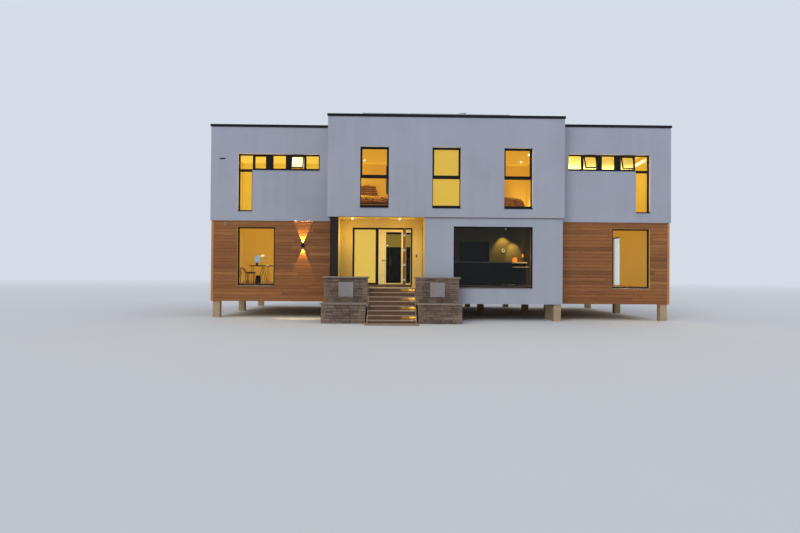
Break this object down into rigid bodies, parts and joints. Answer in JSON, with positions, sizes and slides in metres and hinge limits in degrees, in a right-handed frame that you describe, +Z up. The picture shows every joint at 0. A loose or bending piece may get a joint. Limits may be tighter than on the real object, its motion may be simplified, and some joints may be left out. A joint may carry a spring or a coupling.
{
  "type": "detached house",
  "caption": "Two-storey detached house with a rendered centre block, timber-clad wings, flat roofs, piers, an entrance stair and a front door on a hinge.",
  "frame": {"origin": "centre of the bounding box in plan, on the ground below the piers", "axes": "+X runs along the front to the viewer's right, +Y runs from the front to the rear, +Z is up"},
  "size_m": [19.35, 13.19, 8.823],
  "materials": {
    "render": "fine-textured render, pale cool grey",
    "timber": "oiled cedar boards",
    "porch_white": "smooth white render",
    "dark_metal": "anthracite powder coat",
    "window_glass": "clear double glazing",
    "door_paint": "cream satin paint",
    "steel": "brushed stainless steel",
    "pale_stone": "sawn pale stone",
    "rough_stone": "split-faced brown-grey stone",
    "plate_stone": "honed slate",
    "brown_tile": "matt brown tile",
    "concrete": "bare concrete",
    "pier_post": "sawn timber casing",
    "roof_membrane": "grey roofing membrane",
    "floor_deck": "oak boards over plaster soffit",
    "plaster": "plaster in warm light",
    "roof_panel": "dark glazed panel",
    "lamp_light": "opal diffuser"
  },
  "bodies": {
    "house": {"foundation_piers": "pier_post", "floor_beams": "concrete", "ground_floor": "floor_deck", "porch_floor": "pale_stone", "upper_floor": "floor_deck", "roof_deck": "roof_membrane", "timber_front_rear_walls": "timber", "timber_side_walls": "timber", "porch_wall": "porch_white", "porch_lintel": "porch_white", "porch_fin": "dark_metal", "centre_lower_walls": "render", "centre_lower_returns": "render", "wing_upper_front_rear_walls": "render", "wing_upper_side_walls": "render", "centre_upper_walls": "render", "centre_upper_returns": "render", "centre_side_parapets": "render", "parapet_copings": "dark_metal", "room_walls": "plaster", "tall_window_frames": "dark_metal", "band_window_frames": "dark_metal", "band_window_sashes": "dark_metal", "sash_stays": "steel", "lower_window_frames": "dark_metal", "upper_glass": "window_glass", "lower_glass": "window_glass", "upper_sills": "dark_metal", "lower_sills": "pale_stone", "door_frame": "dark_metal", "door_sill": "brown_tile", "door_hinges": "steel", "stair_flight": "brown_tile", "stair_treads": "pale_stone", "stair_strings": "pale_stone", "flank_piers": "rough_stone", "flank_pier_copings": "pale_stone", "flank_pier_plates": "plate_stone", "porch_downlights": "lamp_light", "wall_lamp": "dark_metal", "roof_panels": "roof_panel", "roof_panel_frames": "steel"},
    "entrance_leaf": {"front_door": "door_paint", "door_glass": "window_glass", "door_handles": "steel"}
  },
  "joints": [
    {"name": "front_door_hinge", "type": "hinge", "parent": "house", "child": "entrance_leaf", "pos_m": [-1.502, -2.987, 2.6], "axis": [0, 0, 1], "range_deg": [0, 95]}
  ]
}
